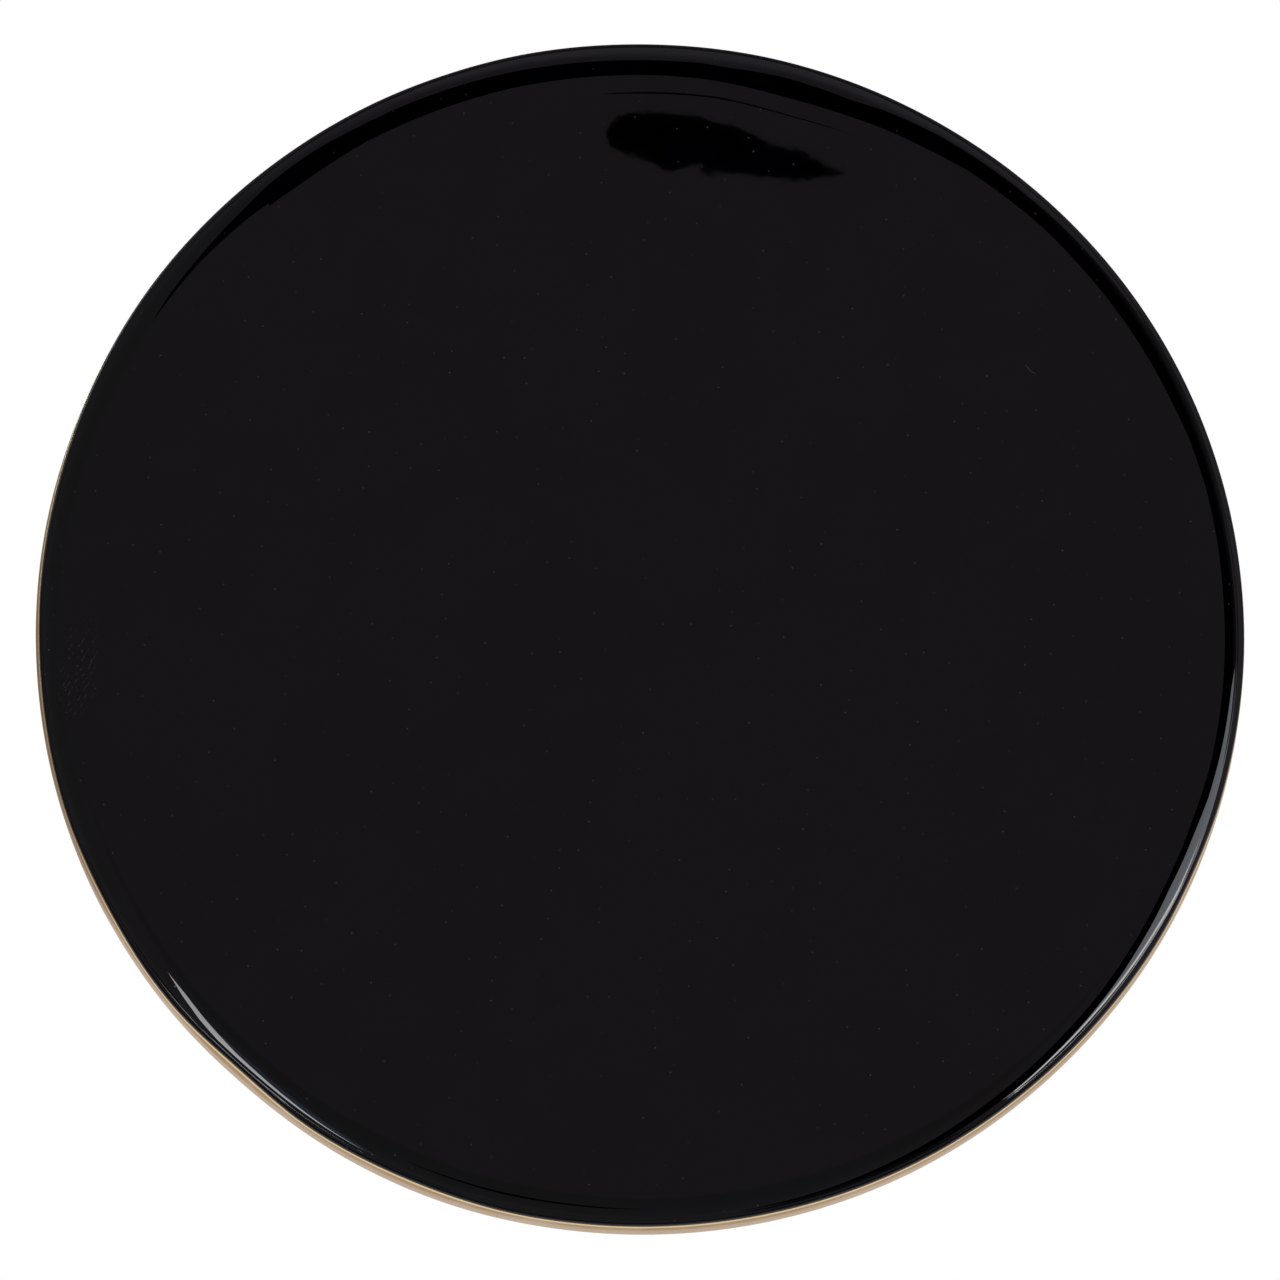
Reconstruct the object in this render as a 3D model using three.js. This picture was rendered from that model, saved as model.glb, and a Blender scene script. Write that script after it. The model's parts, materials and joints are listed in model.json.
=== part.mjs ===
// Round serving tray: a cast metal shell with a gold outside, a poured black enamel coat that fills the dish and
// rolls over the lip, and four stick-on bumper feet under the rim ring. Millimetres, +Z up, origin at the centre
// of the circle that the feet stand on.

import * as THREE from 'three';

// Metal shell
const trayRadius = 200; // widest point of the barrelled outer wall
const bodyHeight = 14.5; // rim ring, underside to top of the metal lip
const barrelRadius = 150; // curve of the outer wall seen in section
const barrelHeight = 7.25; // widest point of the wall above the ring's underside
const baseCornerRadius = 2.5; // outer bottom corner
const topEdgeRadius = 0.25; // thin metal edge left bare beside the enamel
const ringWidth = 12.5; // rim ring, from the widest point inwards to the recess
const floorThickness = 3.5; // metal floor between dish and recess
const recessFillet = 3; // inside corner between rim ring and floor, underneath

// Enamel coat
const dishDepth = 4.25; // enamel floor below the rim crest
const enamelDepth = 1.2; // enamel over the floor
const enamelOnFlare = 0.9; // enamel on the sloping side of the dish
const beadRadius = 1; // rounded outer edge of the enamel, which stands this far above the metal lip
const flareAngle = THREE.MathUtils.degToRad(43); // steepest slope inside the lip
const crestRadius = 1.3; // turn from the crest into the slope

// Feet
const footCount = 4;
const footRadius = 4;
const footHeight = 1.75;
const footEdgeRadius = 0.6;
const adhesiveRadius = 3.7;
const adhesiveThickness = 0.25;

// Faceting
const traySegments = 96;
const footSegments = 24;

// Levels and radii that follow
const baseZ = footHeight + adhesiveThickness;
const lipZ = baseZ + bodyHeight;
const crestZ = lipZ + beadRadius;
const dishZ = crestZ - dishDepth;
const metalFloorZ = dishZ - enamelDepth;
const undersideZ = metalFloorZ - floorThickness;
const barrelZ = baseZ + barrelHeight;
const recessRadius = trayRadius - ringWidth;
const recessCorner = Math.min(recessFillet, (undersideZ - baseZ) / 2);

// Radius of the outer wall's arc at height z
function wallRadius(z) {
  const rise = z - barrelZ;
  return trayRadius - barrelRadius + Math.sqrt(barrelRadius ** 2 - rise ** 2);
}

const edgeZ = lipZ - topEdgeRadius;
const enamelEdgeR = wallRadius(edgeZ) - topEdgeRadius;
const crestR = enamelEdgeR - beadRadius;

// Points of an arc about (r, z), both ends included; angles in degrees, 0 outwards and 90 up
function arc(r, z, radius, fromDegrees, toDegrees, steps) {
  const points = [];
  for (let i = 0; i <= steps; i += 1) {
    const angle = THREE.MathUtils.degToRad(fromDegrees + ((toDegrees - fromDegrees) * i) / steps);
    points.push([r + radius * Math.cos(angle), z + radius * Math.sin(angle)]);
  }
  return points;
}

// The side of a dish, from its flat floor up to the end of its slope at (endR, endZ)
function flare(endR, endZ, floorZ, steps) {
  const radius = (endZ - floorZ) / (1 - Math.cos(flareAngle));
  const centreR = endR - radius * Math.sin(flareAngle);
  return arc(centreR, floorZ + radius, radius, -90, -90 + THREE.MathUtils.radToDeg(flareAngle), steps);
}

// End of the enamel's slope, where the crest's own turn begins
const slopeTopR = crestR - crestRadius * Math.sin(flareAngle);
const slopeTopZ = crestZ - crestRadius * (1 - Math.cos(flareAngle));

// Surface between metal and enamel, from the axis out to the enamel's edge
function sharedSurface() {
  const metalTopR = slopeTopR + enamelOnFlare * Math.sin(flareAngle);
  return [
    [0, metalFloorZ],
    ...flare(metalTopR, lipZ, metalFloorZ, 6),
    [enamelEdgeR, lipZ],
  ];
}

// Enamel's free surface, from its outer edge back to the axis
function enamelSurface() {
  const flareDegrees = THREE.MathUtils.radToDeg(flareAngle);
  return [
    ...arc(crestR, lipZ, beadRadius, 0, 90, 4).slice(1, -1),
    ...arc(crestR, crestZ - crestRadius, crestRadius, 90, 90 + flareDegrees, 3),
    ...flare(slopeTopR, slopeTopZ, dishZ, 8).slice(0, -1).reverse(),
    [0, dishZ],
  ];
}

// Metal shell's outside, from the axis underneath, round the wall, to the enamel's edge
function metalOutside() {
  const cornerZ = baseZ + baseCornerRadius;
  const cornerR = wallRadius(cornerZ) - baseCornerRadius;
  const points = [
    [0, undersideZ],
    ...arc(recessRadius - recessCorner, undersideZ - recessCorner, recessCorner, 90, 0, 3),
    [recessRadius, baseZ],
    ...arc(cornerR, cornerZ, baseCornerRadius, -90, 0, 4),
  ];
  const wallSteps = 6;
  for (let i = 1; i <= wallSteps; i += 1) {
    const z = cornerZ + ((edgeZ - cornerZ) * i) / wallSteps;
    points.push([wallRadius(z), z]);
  }
  points.push(...arc(enamelEdgeR, edgeZ, topEdgeRadius, 0, 90, 2).slice(1, -1));
  return points;
}

// Solid of revolution about +Z from [r, z] points
function turned(outline, segments) {
  const points = outline.map(([r, z]) => new THREE.Vector2(r, z));
  const geometry = new THREE.LatheGeometry(points, segments);
  geometry.rotateX(Math.PI / 2);
  return geometry;
}

function named(name, geometry, material) {
  const mesh = new THREE.Mesh(geometry, material);
  mesh.name = name;
  return mesh;
}

function goldMetal() {
  return new THREE.MeshStandardMaterial({ color: 0xb59a6c, roughness: 0.34, metalness: 1 });
}

function blackEnamel() {
  return new THREE.MeshStandardMaterial({ color: 0x050506, roughness: 0.04, metalness: 0 });
}

function footRubber() {
  return new THREE.MeshStandardMaterial({ color: 0x1c1c1d, roughness: 0.75, metalness: 0 });
}

function clearAdhesive() {
  return new THREE.MeshStandardMaterial({ color: 0xcfcabb, roughness: 0.5, metalness: 0 });
}

function trayBody() {
  const outline = [...metalOutside(), ...sharedSurface().reverse()];
  return named('tray_body', turned(outline, traySegments), goldMetal());
}

function enamelCoat() {
  const outline = [...sharedSurface(), ...enamelSurface()];
  return named('enamel_coat', turned(outline, traySegments), blackEnamel());
}

function bumperFoot(number) {
  const outline = [
    [0, 0],
    ...arc(footRadius - footEdgeRadius, footEdgeRadius, footEdgeRadius, -90, 0, 3),
    [footRadius, footHeight],
    [0, footHeight],
  ];
  return named(`bumper_foot_${number}`, turned(outline, footSegments), footRubber());
}

function footAdhesive(number) {
  const outline = [
    [0, footHeight],
    [adhesiveRadius, footHeight],
    [adhesiveRadius, baseZ],
    [0, baseZ],
  ];
  return named(`foot_adhesive_${number}`, turned(outline, footSegments), clearAdhesive());
}

// Feet stand under the middle of the ring's flat underside, evenly spaced
function placeFeet(group) {
  const flatOuterR = wallRadius(baseZ + baseCornerRadius) - baseCornerRadius;
  const pitchRadius = (recessRadius + flatOuterR) / 2;
  for (let i = 0; i < footCount; i += 1) {
    const angle = (2 * Math.PI * (i + 0.5)) / footCount;
    for (const piece of [bumperFoot(i + 1), footAdhesive(i + 1)]) {
      piece.position.set(pitchRadius * Math.cos(angle), pitchRadius * Math.sin(angle), 0);
      group.add(piece);
    }
  }
}

const group = new THREE.Group();
group.add(trayBody(), enamelCoat());
placeFeet(group);

export default group;
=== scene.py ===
import json
import math
import bmesh
import bpy
from mathutils import Matrix, Vector


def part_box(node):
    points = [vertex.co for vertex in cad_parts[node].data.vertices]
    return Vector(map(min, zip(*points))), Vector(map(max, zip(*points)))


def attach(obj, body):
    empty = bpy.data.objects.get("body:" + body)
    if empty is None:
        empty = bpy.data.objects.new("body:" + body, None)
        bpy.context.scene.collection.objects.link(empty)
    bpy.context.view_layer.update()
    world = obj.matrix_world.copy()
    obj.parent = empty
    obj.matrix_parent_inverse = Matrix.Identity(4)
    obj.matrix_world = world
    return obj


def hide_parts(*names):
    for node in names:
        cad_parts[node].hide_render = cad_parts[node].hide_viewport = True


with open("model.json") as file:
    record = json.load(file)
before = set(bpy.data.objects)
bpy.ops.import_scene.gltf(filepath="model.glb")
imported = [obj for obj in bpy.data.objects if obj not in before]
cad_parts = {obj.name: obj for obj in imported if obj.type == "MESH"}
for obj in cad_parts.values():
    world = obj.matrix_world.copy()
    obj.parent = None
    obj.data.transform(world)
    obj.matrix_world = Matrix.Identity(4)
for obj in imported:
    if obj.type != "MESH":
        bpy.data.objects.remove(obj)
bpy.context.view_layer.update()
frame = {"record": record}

bodyLow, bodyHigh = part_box("tray_body")
coatLow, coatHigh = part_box("enamel_coat")
mounts = {mount["name"]: Vector(mount["pos_m"]) for mount in frame["record"]["mounts"]}
mm = 0.001

trayRadius = bodyHigh.x
baseZ = bodyLow.z  # underside of the rim ring
lipZ = bodyHigh.z  # top of the metal
crestZ = coatHigh.z  # top of the enamel
metalFloorZ = coatLow.z
dishZ = mounts["serving_floor"].z  # enamel floor
print("frame loaded, tray is", round(2 * trayRadius / mm), "mm across")


class Value:  # a node socket that can be added, multiplied and compared like a number
    def __init__(self, tree, socket):
        self.tree = tree
        self.socket = socket

    def work(self, operation, first, second=0.0):
        node = self.tree.nodes.new("ShaderNodeMath")
        node.operation = operation
        for slot, item in zip(node.inputs, (first, second)):
            if isinstance(item, Value):
                self.tree.links.new(item.socket, slot)
            else:
                slot.default_value = item
        return Value(self.tree, node.outputs[0])

    def __add__(self, other):
        return self.work("ADD", self, other)

    def __radd__(self, other):
        return self.work("ADD", other, self)

    def __sub__(self, other):
        return self.work("SUBTRACT", self, other)

    def __rsub__(self, other):
        return self.work("SUBTRACT", other, self)

    def __mul__(self, other):
        return self.work("MULTIPLY", self, other)

    def __rmul__(self, other):
        return self.work("MULTIPLY", other, self)

    def __gt__(self, other):
        return self.work("GREATER_THAN", self, other)

    def __abs__(self):
        return self.work("ABSOLUTE", self)

    def most(self, other):
        return self.work("MAXIMUM", self, other)


class Shader:  # one material or world and the nodes in it
    def __init__(self, owner):
        self.owner = owner
        owner.use_nodes = True
        self.tree = owner.node_tree
        self.coordinates = self.node("TexCoord")

    def node(self, kind, settings=None, **sockets):
        node = self.tree.nodes.new("ShaderNode" + kind)
        for name, item in (settings or {}).items():
            setattr(node, name, item)
        for name, item in sockets.items():
            self.put(node.inputs[name.replace("_", " ")], item)
        return node

    def put(self, socket, item):
        if isinstance(item, Value):
            item = item.socket
        if isinstance(item, bpy.types.NodeSocket):
            self.tree.links.new(item, socket)
        else:
            socket.default_value = item

    def spot(self):
        return self.coordinates.outputs["Object"]

    def axes(self, vector=None):
        parts = self.node("SeparateXYZ", Vector=vector or self.spot())
        return [Value(self.tree, parts.outputs[axis]) for axis in "XYZ"]

    def moved(self, centre=(0, 0, 0), degrees=0.0, stretch=(1, 1, 1)):
        about = self.node("VectorMath", {"operation": "SUBTRACT"})
        self.put(about.inputs[0], self.spot())
        self.put(about.inputs[1], centre)
        turn = (0, 0, math.radians(degrees))
        mapping = self.node("Mapping", Vector=about.outputs[0], Rotation=turn, Scale=stretch)
        return mapping.outputs[0]

    def length(self, vector):
        measured = self.node("VectorMath", {"operation": "LENGTH"})
        self.put(measured.inputs[0], vector)
        return Value(self.tree, measured.outputs["Value"])

    def noise(self, size, detail=3.0, vector=None):
        where = vector or self.spot()
        cloud = self.node("TexNoise", Vector=where, Scale=1 / size, Detail=detail)
        return Value(self.tree, cloud.outputs["Fac"])

    def ramp(self, item, low, high):  # 0 at low, 1 at high, soft between; low may be the larger
        eased = self.node("MapRange", {"interpolation_type": "SMOOTHSTEP"}, Value=item)
        eased.inputs["From Min"].default_value = min(low, high)
        eased.inputs["From Max"].default_value = max(low, high)
        result = Value(self.tree, eased.outputs["Result"])
        return result if low < high else 1 - result

    def blend(self, mask, under, over):
        mixer = self.node("Mix", {"data_type": "RGBA"})
        for index, item in ((0, mask), (6, under), (7, over)):
            self.put(mixer.inputs[index], item)
        return mixer.outputs[2]

    def bump(self, height, depth):
        return self.node("Bump", Height=height, Distance=depth).outputs["Normal"]


def newFinish(name, **sockets):
    shader = Shader(bpy.data.materials.new(name))
    shader.surface = shader.tree.nodes["Principled BSDF"]
    for socket, item in sockets.items():
        shader.put(shader.surface.inputs[socket.replace("_", " ")], item)
    return shader


def applyTo(shader, **sockets):
    for socket, item in sockets.items():
        shader.put(shader.surface.inputs[socket.replace("_", " ")], item)
    return shader.owner


# outlines are drawn in the X-Z plane and then spun round Z
def startOutline(x, z):
    shape = bmesh.new()
    return shape, shape.verts.new((x, 0, z))


def lineTo(shape, last, x, z):
    drawn = bmesh.ops.extrude_vert_indiv(shape, verts=[last])["verts"][0]
    drawn.co = (x, 0, z)
    return drawn


def arcTo(shape, last, x, z, degrees, steps):  # about (x, z), degrees counted from +X towards +Z
    drawn = bmesh.ops.spin(shape, geom=[last], cent=(x, 0, z), axis=(0, -1, 0),
                           angle=math.radians(degrees), steps=steps)
    return drawn["geom_last"][0]


def spinOutline(shape, steps):
    outline = shape.verts[:] + shape.edges[:]
    bmesh.ops.spin(shape, geom=outline, axis=(0, 0, 1), angle=math.tau, steps=steps, use_merge=True)
    bmesh.ops.remove_doubles(shape, verts=shape.verts, dist=0.002 * mm)
    bmesh.ops.recalc_face_normals(shape, faces=shape.faces)


def newPiece(name, shape, material):
    mesh = bpy.data.meshes.new(name)
    shape.to_mesh(mesh)
    shape.free()
    mesh.materials.append(material)
    mesh.shade_smooth()
    piece = bpy.data.objects.new(name, mesh)
    bpy.context.scene.collection.objects.link(piece)
    return piece


def swell(degrees, bumps):  # soft bumps round the rim, each (azimuth, half width, height)
    total = 0.0
    for azimuth, halfWidth, height in bumps:
        away = abs((degrees - azimuth + 180) % 360 - 180) / halfWidth
        if away < 1:
            total += height * (0.5 + 0.5 * math.cos(math.pi * away))
    return total


def eased(value, low, high):
    share = min(max((value - low) / (high - low), 0), 1)
    return share * share * (3 - 2 * share)


# how the hand-finished rim wanders: azimuth, half width in degrees, millimetres outwards
handmade = {
    "wall": [
        (236, 14, -0.70), (222, 10, -0.20), (259, 14, 0.30), (180, 18, 0.20), (98, 14, -0.25),
        (125, 10, 0.12), (90, 40, 0.08), (42, 32, 0.20), (326, 26, -0.25),
    ],
    "enamelEdge": [
        (235.5, 9, -0.80), (214, 10, -0.50), (187, 22, -0.60), (171, 14, -0.35),
        (256, 12, -0.45), (288, 30, -0.28), (318, 20, -0.22), (344, 9, -0.30), (5, 10, 0.10),
        (20, 40, 0.26), (60, 40, 0.26), (100, 40, 0.26), (140, 40, 0.26), (153, 12, 0.20),
    ],
    "flareFoot": [
        (133, 8, -1.5), (115, 30, -0.8), (82, 9, -1.2), (52, 5, -0.7), (16, 32, 1.5),
        (342, 10, -0.5), (190, 30, 0.4),
    ],
    "crest": [(92, 92, 0.80)],
    "slowRipple": 0.03,
    "quickRipple": 0.02,
}


def wallShift(degrees):
    slow = handmade["slowRipple"] * math.sin(math.radians(5 * degrees + 40))
    quick = handmade["quickRipple"] * math.sin(math.radians(11 * degrees))
    return (swell(degrees, handmade["wall"]) + (slow + quick)) * mm


# cast metal tray: floor, recessed underside, rim ring and barrelled wall in one
shell = {
    "spinSteps": 360,
    "barrelRadius": 150 * mm,
    "barrelHeight": 7.25 * mm,  # widest point, above the ring's underside
    "baseCorner": 2.5 * mm,
    "topEdge": 0.25 * mm,
    "ringWidth": 12.5 * mm,
    "ringEdge": 0.5 * mm,
    "floorThickness": 3.5 * mm,
    "flareDegrees": 43,
    "enamelOnFlare": 0.9 * mm,
    "beadRadius": 1 * mm,
    "crestRadius": 1.3 * mm,
    "grain": 0.35 * mm,
    "mottle": 1.6 * mm,
    "cloud": 14 * mm,
    "nickPatch": 30 * mm,
    "relief": 0.03 * mm,
    "reflectionBrown": (0.47, 0.31, 0.145, 1),  # painted reflection: dark brown at the top of the wall
    "reflectionTan": (0.64, 0.48, 0.31, 1),  # painted reflection: tan in the middle
    "reflectionRose": (0.66, 0.55, 0.44, 1),  # painted reflection of the white table: pale rose at the foot
    "worn": (0.78, 0.66, 0.50, 1),
    "highlightGold": (1.0, 0.80, 0.47, 1),  # painted highlight along the top edge
    "nickBrown": (0.16, 0.10, 0.05, 1),
    "castDark": (0.44, 0.35, 0.22, 1),  # underside
    "castPale": (0.58, 0.47, 0.31, 1),
}


def wallRadius(z):
    rise = z - baseZ - shell["barrelHeight"]
    return trayRadius - shell["barrelRadius"] + math.sqrt(shell["barrelRadius"] ** 2 - rise ** 2)


def barrelDegrees(z):
    return math.degrees(math.asin((z - baseZ - shell["barrelHeight"]) / shell["barrelRadius"]))


edgeZ = lipZ - shell["topEdge"]
enamelEdgeR = wallRadius(edgeZ) - shell["topEdge"]
crestR = enamelEdgeR - shell["beadRadius"]
flareAngle = math.radians(shell["flareDegrees"])
slopeTopR = crestR - shell["crestRadius"] * math.sin(flareAngle)
slopeTopZ = crestZ - shell["crestRadius"] * (1 - math.cos(flareAngle))
metalTopR = slopeTopR + shell["enamelOnFlare"] * math.sin(flareAngle)


def flareRadius(topZ, floorZ):
    return (topZ - floorZ) / (1 - math.cos(flareAngle))


def goldFinish():
    gold = newFinish("castGold", Metallic=1.0)
    z = gold.axes()[2]
    outward = gold.length(gold.moved(stretch=(1, 1, 0)))
    onWall = gold.ramp(outward, trayRadius - 3 * mm, trayRadius - 1.2 * mm)
    cloud = gold.noise(shell["cloud"], 4)
    mottle = gold.noise(shell["mottle"], 3)
    grain = gold.noise(shell["grain"], 2)
    # painted reflection in the gold's base colour: dark brown under the top edge, tan, then pale
    # rose at the foot where the white table is mirrored
    toReflectionTan = gold.ramp(z, lipZ - 2.5 * mm, lipZ - 6 * mm)
    base = gold.blend(toReflectionTan, shell["reflectionBrown"], shell["reflectionTan"])
    toReflectionRose = gold.ramp(z, lipZ - 6 * mm, baseZ + 2 * mm)
    base = gold.blend(toReflectionRose, base, shell["reflectionRose"])
    worn = gold.ramp(cloud + 0.3 * mottle, 0.55, 0.9)
    base = gold.blend(worn * 0.35, base, shell["worn"])
    # painted highlight: a bright line along the top edge of the wall
    topEdge = gold.ramp(z, lipZ - 2.1 * mm, lipZ - 1.1 * mm) * onWall
    base = gold.blend(topEdge, base, shell["highlightGold"])
    # the underside keeps the duller cast skin
    under = gold.ramp(outward, trayRadius - 2.5 * mm, trayRadius - 4 * mm)
    cast = gold.blend(cloud, shell["castDark"], shell["castPale"])
    base = gold.blend(under, base, cast)
    # hairline nicks across the wall
    nicks = gold.noise(1, 2, gold.moved(stretch=(900, 900, 60)))
    patches = gold.ramp(gold.noise(shell["nickPatch"], 2), 0.5, 0.62)
    nicks = gold.ramp(nicks, 0.70, 0.74) * patches
    base = gold.blend(nicks * 0.5, base, shell["nickBrown"])
    rough = 0.30 + 0.10 * grain + 0.12 * under + 0.06 * mottle
    height = grain * 0.5 + mottle * 0.6 + under * cloud * 3 - nicks * 0.8
    normal = gold.bump(height, shell["relief"])
    return applyTo(gold, Base_Color=base, Roughness=rough, Normal=normal)


def makeTrayShell():
    undersideZ = metalFloorZ - shell["floorThickness"]
    recessRadius = trayRadius - shell["ringWidth"]
    fillet = (undersideZ - baseZ) / 2
    cornerZ = baseZ + shell["baseCorner"]
    cornerR = wallRadius(cornerZ) - shell["baseCorner"]
    shape, last = startOutline(0, undersideZ)
    last = lineTo(shape, last, recessRadius - fillet, undersideZ)
    last = arcTo(shape, last, recessRadius - fillet, undersideZ - fillet, -90, 10)
    edge = shell["ringEdge"]
    last = lineTo(shape, last, recessRadius, baseZ + edge)
    last = arcTo(shape, last, recessRadius + edge, baseZ + edge, 90, 4)
    last = lineTo(shape, last, cornerR, baseZ)
    last = arcTo(shape, last, cornerR, cornerZ, 90 + barrelDegrees(cornerZ), 10)
    # the barrel, up to the small round edge that stays bare beside the enamel
    barrelX = trayRadius - shell["barrelRadius"]
    barrelZ = baseZ + shell["barrelHeight"]
    last = lineTo(shape, last, wallRadius(cornerZ), cornerZ)
    last = arcTo(shape, last, barrelX, barrelZ, barrelDegrees(edgeZ) - barrelDegrees(cornerZ), 12)
    last = arcTo(shape, last, enamelEdgeR, edgeZ, 90, 5)
    # under the enamel
    radius = flareRadius(lipZ, metalFloorZ)
    last = lineTo(shape, last, metalTopR, lipZ)
    centreR = metalTopR - radius * math.sin(flareAngle)
    last = arcTo(shape, last, centreR, metalFloorZ + radius, -shell["flareDegrees"], 8)
    lineTo(shape, last, 0, metalFloorZ)
    spinOutline(shape, shell["spinSteps"])
    wanderFrom = recessRadius + 2 * mm
    for vertex in shape.verts:
        r = math.hypot(vertex.co.x, vertex.co.y)
        if r > wanderFrom:
            degrees = math.degrees(math.atan2(vertex.co.y, vertex.co.x))
            shift = wallShift(degrees) * eased(r, wanderFrom, trayRadius - 4 * mm)
            lean = eased(vertex.co.z, lipZ - 5 * mm, edgeZ) * eased(r, slopeTopR, crestR)
            shift += min(swell(degrees, handmade["enamelEdge"]), 0) * lean * mm
            vertex.co.x *= 1 + shift / r
            vertex.co.y *= 1 + shift / r
    return newPiece("trayShell", shape, goldFinish())


trayShell = makeTrayShell()
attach(trayShell, "root")
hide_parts("tray_body")
print("tray shell done,", len(trayShell.data.vertices), "vertices")


# poured enamel: flat floor, flare, crest and the bead that rolls over the metal lip
pour = {
    "spinSteps": 720,
    "wanderWidth": 13 * mm,  # outer ring of the floor that follows the hand-made flare
    "gloss": 0.006,
    "beadGloss": 0.12,
    "relief": 0.05 * mm,
    "dustCell": 8 * mm,
    "lintAt": (0.116, 0.107),
    "lintDegrees": 35,
    "scuffAt": (-0.183, -0.037),
    "scuffDegrees": 25,
    "warmBlack": (0.0004, 0.0003, 0.0, 1),
    "blueBlack": (0.0004, 0.0006, 0.0028, 1),
    "dustGrey": (0.22, 0.21, 0.22, 1),
    # painted reflection on the enamel lip
    "lipReflectionGrey": (0.034, 0.032, 0.036, 1),
}


def dustMask(enamel):
    dust = enamel.node("TexVoronoi", {"voronoi_dimensions": "2D"},
                       Vector=enamel.spot(), Scale=1 / pour["dustCell"])
    chance = enamel.axes(dust.outputs["Color"])
    distance = Value(enamel.tree, dust.outputs["Distance"])
    strength = 0.15 + 0.85 * chance[1] * chance[1]
    return enamel.ramp(distance, 0.050, 0.025) * (chance[0] > 0.62) * strength


def scuffMask(enamel):  # a patch of fine scuffs near the left rim
    centre = (*pour["scuffAt"], dishZ)
    apart = enamel.length(enamel.moved(centre=centre, stretch=(1, 0.4, 0)))
    turned = enamel.moved(centre=centre, degrees=pour["scuffDegrees"])
    strokes = enamel.node("TexWave", Vector=turned, Scale=190, Distortion=7,
                          Detail=1, Detail_Scale=0.5)
    hair = enamel.ramp(Value(enamel.tree, strokes.outputs["Fac"]), 0.90, 0.98)
    broken = enamel.ramp(enamel.noise(1.4 * mm, 2), 0.52, 0.62)
    return hair * broken * enamel.ramp(apart, 9 * mm, 3 * mm)


def lintMask(enamel):  # one curled hair
    centre = (*pour["lintAt"], dishZ)
    turned = enamel.moved(centre=centre, degrees=pour["lintDegrees"])
    along, across = enamel.axes(turned)[:2]
    curl = abs(across - along * along * 90)
    return enamel.ramp(curl, 0.12 * mm, 0.05 * mm) * enamel.ramp(abs(along), 2.4 * mm, 1.8 * mm)


def enamelFinish():
    enamel = newFinish("blackEnamel", IOR=1.5)
    speck = dustMask(enamel)
    scuff = scuffMask(enamel)
    lint = lintMask(enamel)
    haze = enamel.ramp(enamel.noise(32 * mm, 5), 0.44, 0.58)
    base = enamel.blend(haze, pour["warmBlack"], pour["blueBlack"])
    dirt = (speck * 0.5).most(scuff * 0.4).most(lint * 0.8)
    base = enamel.blend(dirt, base, pour["dustGrey"])
    # painted reflection: the lip is lighter grey, most of all at the far right
    outward = enamel.length(enamel.moved(stretch=(1, 1, 0)))
    x, y = enamel.axes()[:2]
    farRight = enamel.ramp(0.8 * x + y, -0.05, 0.05)
    lipReflection = enamel.ramp(outward, slopeTopR - 2 * mm, crestR) * (0.3 + 0.7 * farRight)
    base = enamel.blend(lipReflection, base, pour["lipReflectionGrey"])
    bead = enamel.ramp(outward, crestR, crestR + 0.5 * mm)
    rough = pour["gloss"] + 0.25 * speck.most(lint) + 0.1 * scuff + pour["beadGloss"] * bead
    height = enamel.noise(60 * mm, 2) * 0.06 + enamel.noise(9 * mm, 2) * 0.008
    normal = enamel.bump(height, pour["relief"])
    return applyTo(enamel, Base_Color=base, Roughness=rough, Normal=normal)


def makeEnamelPour():
    outerRadius = flareRadius(slopeTopZ, dishZ)
    innerRadius = flareRadius(lipZ, metalFloorZ)
    footR = slopeTopR - outerRadius * math.sin(flareAngle)  # where the flat floor ends
    shape, last = startOutline(0, dishZ)
    last = lineTo(shape, last, footR - 12 * mm, dishZ)
    last = lineTo(shape, last, footR - 4 * mm, dishZ)
    last = lineTo(shape, last, footR, dishZ)
    last = arcTo(shape, last, footR, dishZ + outerRadius, shell["flareDegrees"], 26)
    last = arcTo(shape, last, crestR, crestZ - shell["crestRadius"], -shell["flareDegrees"], 8)
    last = arcTo(shape, last, crestR, lipZ, -90, 10)
    # back along the metal, unseen
    last = lineTo(shape, last, metalTopR, lipZ)
    centreR = metalTopR - innerRadius * math.sin(flareAngle)
    last = arcTo(shape, last, centreR, metalFloorZ + innerRadius, -shell["flareDegrees"], 5)
    lineTo(shape, last, 0, metalFloorZ)
    spinOutline(shape, pour["spinSteps"])
    wanderFrom = footR - pour["wanderWidth"]
    topFrom = 0.4 * footR + 0.6 * slopeTopR
    for vertex in shape.verts:
        r = math.hypot(vertex.co.x, vertex.co.y)
        if r > wanderFrom and vertex.co.z > dishZ - 0.01 * mm:
            degrees = math.degrees(math.atan2(vertex.co.y, vertex.co.x))
            shift = wallShift(degrees) * eased(r, footR, crestR)
            inner = eased(r, wanderFrom, footR) * (1 - eased(r, footR, slopeTopR))
            shift += swell(degrees, handmade["flareFoot"]) * inner * mm
            shift += swell(degrees, handmade["enamelEdge"]) * eased(r, slopeTopR, crestR) * mm
            top = eased(r, topFrom, crestR) * (1 - eased(r, crestR, enamelEdgeR))
            shift += swell(degrees, handmade["crest"]) * top * mm
            vertex.co.x *= 1 + shift / r
            vertex.co.y *= 1 + shift / r
    return newPiece("enamelPour", shape, enamelFinish())


enamelPour = makeEnamelPour()
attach(enamelPour, "root")
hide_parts("enamel_coat")
print("enamel done,", len(enamelPour.data.vertices), "vertices")


# stick-on bumper feet and the discs that hold them
foot = {
    "spinSteps": 64,
    "edge": 0.7 * mm,
    "rimEdge": 0.1 * mm,
    "dimple": 0.12 * mm,  # shallow hollow in the middle of the sole
    "dimpleFloor": 0.35,  # shares of the radius
    "dimpleMouth": 0.55,
    "tapeBulge": 0.05 * mm,
    "darkRubber": (0.010, 0.010, 0.011, 1),
    "paleRubber": (0.018, 0.018, 0.019, 1),
    "scuffedRubber": (0.06, 0.058, 0.055, 1),
    "darkTape": (0.50, 0.48, 0.42, 1),
    "paleTape": (0.66, 0.64, 0.57, 1),
}


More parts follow.
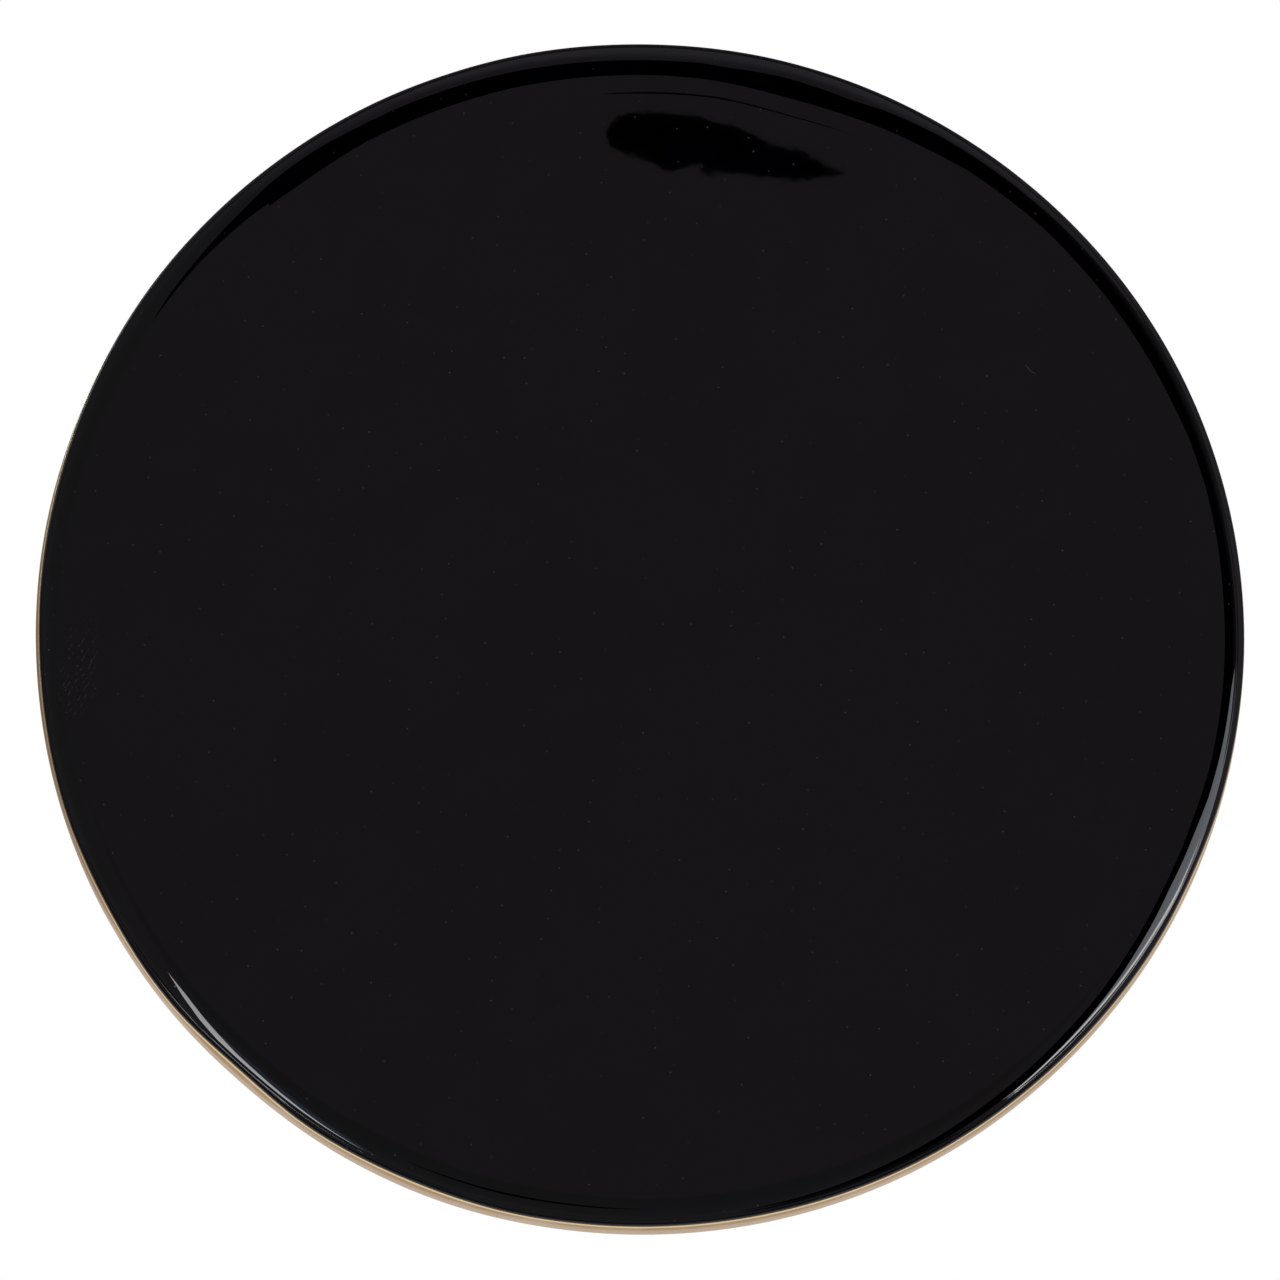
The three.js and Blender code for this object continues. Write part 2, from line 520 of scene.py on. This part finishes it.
def rubberFinish():
    rubber = newFinish("footRubber", IOR=1.5)
    grit = rubber.noise(0.25 * mm, 3)
    patch = rubber.noise(3 * mm, 3)
    sole = rubber.ramp(rubber.axes()[2], 0.35 * mm, 0.0)
    scuffed = sole * rubber.ramp(patch, 0.4, 0.6)
    base = rubber.blend(patch, foot["darkRubber"], foot["paleRubber"])
    base = rubber.blend(scuffed * 0.6, base, foot["scuffedRubber"])
    normal = rubber.bump(grit, 0.02 * mm)
    return applyTo(rubber, Base_Color=base, Roughness=0.62 + 0.2 * grit, Normal=normal)


def tapeFinish():
    tape = newFinish("clearTape", IOR=1.47)
    patch = tape.noise(1.2 * mm, 3)
    base = tape.blend(patch, foot["darkTape"], foot["paleTape"])
    normal = tape.bump(patch, 0.01 * mm)
    return applyTo(tape, Base_Color=base, Roughness=0.3 + 0.25 * patch, Normal=normal)


def moveToBox(shape, low, high):
    middle = (low + high) / 2
    bmesh.ops.translate(shape, verts=shape.verts, vec=(middle.x, middle.y, 0))


def makeFoot(number, material):
    low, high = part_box(f"bumper_foot_{number}")
    radius = (high.x - low.x) / 2
    edge = foot["edge"]
    shape, last = startOutline(0, low.z + foot["dimple"])
    last = lineTo(shape, last, foot["dimpleFloor"] * radius, low.z + foot["dimple"])
    last = lineTo(shape, last, foot["dimpleMouth"] * radius, low.z)
    last = lineTo(shape, last, radius - edge, low.z)
    last = arcTo(shape, last, radius - edge, low.z + edge, 84, 7)
    last = lineTo(shape, last, radius, high.z - foot["rimEdge"])
    last = lineTo(shape, last, radius - foot["rimEdge"], high.z)
    lineTo(shape, last, 0, high.z)
    spinOutline(shape, foot["spinSteps"])
    moveToBox(shape, low, high)
    return newPiece(f"bumperFoot{number}", shape, material)


def makeTape(number, material):
    low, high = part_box(f"foot_adhesive_{number}")
    radius = (high.x - low.x) / 2
    shape, last = startOutline(0, low.z)
    flatR = radius - foot["tapeBulge"]
    last = lineTo(shape, last, flatR, low.z)
    last = arcTo(shape, last, flatR, (low.z + high.z) / 2, 180, 6)
    lineTo(shape, last, 0, high.z)
    spinOutline(shape, foot["spinSteps"])
    moveToBox(shape, low, high)
    return newPiece(f"footTape{number}", shape, material)


rubber = rubberFinish()
tape = tapeFinish()
for number in range(1, 5):
    bumper = makeFoot(number, rubber)
    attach(bumper, "root")
    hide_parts(f"bumper_foot_{number}")
    disc = makeTape(number, tape)
    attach(disc, "root")
    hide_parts(f"foot_adhesive_{number}")
print("feet done")


# studio: a white table, a dim lavender room, two softboxes and black cards
studio = {
    "tableRadius": 8.0,
    "tableWhite": 1.0,
    "tableGlow": 0.62,
    "tableGrey": (0.6, 0.6, 0.6, 1),
    "tableShade": (0.30, 0.24, 0.19, 1),  # painted shadow at the left
    "tableBright": (1.0, 0.96, 0.93, 1),
    # painted shadow on the far side, seen only in reflections
    "tableFarShadow": (0.05, 0.05, 0.05, 1),
    "room": (0.20, 0.176, 0.198, 1),
    "roomAhead": (0.156, 0.156, 0.160, 1),
    "roomRight": (0.178, 0.170, 0.180, 1),
    "roomNear": (0.295, 0.285, 0.31, 1),
}

# outlines in degrees from straight up: (to the right, away from the camera)
cards = {
    "leftSoftbox": {
        "dome": 64, "colour": (0.93, 1.0, 1.10), "glow": 2.3,
        "outline": [
            (-78, 10), (-60, 18), (-44, 25), (-44, 34), (-52, 55), (-51, 68), (-55, 71),
            (-59, 65), (-64, 59), (-69, 54), (-73, 49), (-78, 43), (-80, 30), (-79, 18),
        ],
    },
    "leftTube": {
        "dome": 63, "colour": (1, 1, 1), "glow": 8.5,
        "outline": [
            (-74, 33), (-71, 40), (-66, 45), (-63, 50.5), (-59, 55), (-55.5, 60), (-53.5, 67.5),
            (-55, 70), (-58.5, 64), (-63, 58.5), (-68, 54), (-71, 49), (-76, 43),
        ],
    },
    "rightSoftbox": {
        "dome": 62, "colour": (0.98, 0.99, 1.02), "glow": 6.5,
        "outline": [
            (24, 82.5), (27, 79.5), (30, 76), (33.3, 70.5), (35, 65), (34, 60), (33, 54),
            (31, 47), (33, 45.5), (38, 55.5), (41.5, 66), (42, 73), (37, 77), (31, 80),
        ],
    },
    "rightHalo": {
        "dome": 63, "colour": (0.62, 0.78, 1.0), "glow": 0.5,
        "outline": [
            (34, 60), (31, 55), (28, 57), (25, 63), (22, 73), (22, 81), (29, 78), (34, 70),
        ],
    },
    "blackFlag": {
        "dome": 60, "colour": (0, 0, 0), "glow": 0,
        "outline": [
            (37, -5), (31, -8), (25, -7), (17, -6), (13, -2), (10, -3.5), (7, -7), (2, -6.5),
            (-1, -3), (-3, -2.5), (-5, -5), (-9, -10), (-14, -16), (-20, -17.5), (-25, -15.5),
            (-32, -13.5), (-38, -12), (-46, -12), (-51, -8), (-51, -3), (-48, 3), (-47, 12),
            (-44, 17.5), (-37, 20), (-34, 24), (-36, 28), (-39, 36), (-37, 48), (-34, 60),
            (-29, 73), (-20, 84), (-32, 86), (-45, 78), (-52.5, 67), (-55, 59), (-56.5, 53),
            (-56, 45), (-51.5, 35), (-48, 29.5), (-53, 26), (-62, 24), (-68.5, 18.5),
            (-73, 12.5), (-80, 9), (-80, 4), (-78, -5), (-76, -14), (-73, -22), (-69, -29),
            (-64, -34), (-56, -36.5), (-48, -38.5), (-41, -39), (-34, -41), (-23, -41.5),
            (-15, -38), (-10, -33.5), (-7, -32.5), (-2, -35.5), (2, -38), (7, -37), (14, -34),
            (22, -32), (27, -30.5), (34, -27), (39, -24), (40, -18), (40, -9),
        ],
    },
    "darkRail": {
        "dome": 60, "colour": (0, 0, 0), "glow": 0,
        "outline": [
            (-6, 54), (-2, 56), (4, 57), (9, 55.5), (12, 53.5), (8, 52), (3, 51.2), (-2, 51.8),
        ],
    },
    "cameraBody": {
        "dome": 30.76, "colour": (0, 0, 0), "glow": 0,
        "outline": [
            (-0.223, 12.681), (-0.217, 12.706), (-0.2, 12.724), (-0.177, 12.737),
            (-0.151, 12.742), (-0.091, 12.748), (-0.04, 12.751), (0.021, 12.743),
            (0.074, 12.732), (0.143, 12.716), (0.209, 12.708), (0.242, 12.695), (0.268, 12.679),
            (0.29, 12.671), (0.315, 12.667), (0.281, 12.658), (0.25, 12.649), (0.199, 12.637),
            (0.132, 12.636), (0.081, 12.633), (0.029, 12.634), (0.01, 12.626), (-0.009, 12.634),
            (-0.004, 12.648), (-0.028, 12.643), (-0.054, 12.637), (-0.072, 12.626),
            (-0.095, 12.627), (-0.128, 12.638), (-0.167, 12.648), (-0.206, 12.657),
        ],
    },
}


def domePoint(across, ahead, dome):
    zenith = math.radians(math.hypot(across, ahead))
    azimuth = math.atan2(ahead, across)
    level = dome * math.sin(zenith)
    return (level * math.cos(azimuth), level * math.sin(azimuth), dome * math.cos(zenith))


def makeCard(name, card):
    shape = bmesh.new()
    corners = [shape.verts.new((across, ahead, 0)) for across, ahead in card["outline"]]
    shape.faces.new(corners)
    shape.normal_update()
    bmesh.ops.triangulate(shape, faces=shape.faces)
    # fine enough to follow the dome
    bmesh.ops.subdivide_edges(shape, edges=shape.edges, cuts=7, use_grid_fill=True)
    for vertex in shape.verts:
        vertex.co = domePoint(vertex.co.x, vertex.co.y, card["dome"])
    shader = Shader(bpy.data.materials.new(name))
    glow = shader.node("Emission", Color=(*card["colour"], 1), Strength=card["glow"])
    output = shader.tree.nodes["Material Output"]
    shader.put(output.inputs["Surface"], glow.outputs[0])
    hung = newPiece(name, shape, shader.owner)
    hung.visible_camera = False


def makeTable():
    shape = bmesh.new()
    radius = studio["tableRadius"]
    bmesh.ops.create_circle(shape, cap_ends=True, segments=96, radius=radius)
    shader = newFinish("whiteTable", Base_Color=studio["tableGrey"], Roughness=0.9,
                       Emission_Strength=studio["tableGlow"])
    x, y = shader.axes()[:2]
    # the glow seen by reflections carries painted shadow: dark at the left edge and on the far side
    right = shader.ramp(x, -trayRadius, -0.78 * trayRadius)
    farShadow = shader.ramp(y, 0.15 * trayRadius, 0.45 * trayRadius)
    shade = shader.blend(right, studio["tableShade"], studio["tableBright"])
    shade = shader.blend(farShadow, shade, studio["tableFarShadow"])
    shader.put(shader.surface.inputs["Emission Color"], shade)
    seen = shader.node("LightPath").outputs["Is Camera Ray"]
    plain = shader.node("Emission", Color=(1, 1, 1, 1), Strength=studio["tableWhite"])
    both = shader.node("MixShader")
    shader.put(both.inputs[0], seen)
    shader.put(both.inputs[1], shader.surface.outputs[0])
    shader.put(both.inputs[2], plain.outputs[0])
    output = shader.tree.nodes["Material Output"]
    shader.put(output.inputs["Surface"], both.outputs[0])
    newPiece("table", shape, shader.owner)


def makeRoom():
    world = bpy.data.worlds.new("room")
    bpy.context.scene.world = world
    shader = Shader(world)
    x, y = shader.axes(shader.coordinates.outputs["Generated"])[:2]
    ahead = shader.ramp(y, 0.30, 0.45) * shader.ramp(abs(x), 0.45, 0.25)
    colour = shader.blend(ahead, studio["room"], studio["roomAhead"])
    colour = shader.blend(shader.ramp(x, 0.45, 0.75), colour, studio["roomRight"])
    colour = shader.blend(shader.ramp(y, -0.6, -0.8), colour, studio["roomNear"])
    seen = shader.node("LightPath").outputs["Is Camera Ray"]
    colour = shader.blend(seen, colour, (1, 1, 1, 1))
    backdrop = shader.tree.nodes["Background"]
    shader.put(backdrop.inputs["Color"], colour)


for name, card in cards.items():
    makeCard(name, card)
makeTable()
makeRoom()
print("studio done")


# camera, leaning a little towards the near side
view = {
    "distance": 12,
    "lean": 11.6,
    "roll": 7.8,
    "width": 0.4238,
    "sensor": 36,
    "aim": Vector((-0.02 * mm, -0.5 * mm, 9 * mm)),
}


def makeCamera():
    lean = math.radians(view["lean"])
    roll = math.radians(view["roll"])
    back = Vector((0, -math.sin(lean), math.cos(lean)))
    side = Vector((1, 0, 0))
    top = back.cross(side)
    across = side * math.cos(roll) + top * math.sin(roll)
    up = top * math.cos(roll) - side * math.sin(roll)
    aim = Vector((0, 0, view["aim"].z))
    aim += across * view["aim"].x + up * view["aim"].y
    data = bpy.data.cameras.new("camera")
    data.sensor_width = view["sensor"]
    data.lens = view["sensor"] * view["distance"] / view["width"]
    camera = bpy.data.objects.new("camera", data)
    bpy.context.scene.collection.objects.link(camera)
    camera.location = aim + back * view["distance"]
    camera.rotation_mode = "QUATERNION"
    turned = [(across[row], up[row], back[row]) for row in range(3)]
    camera.rotation_quaternion = Matrix(turned).to_quaternion()
    bpy.context.scene.camera = camera


makeCamera()
bpy.context.scene.view_settings.view_transform = "Standard"
print("camera done")
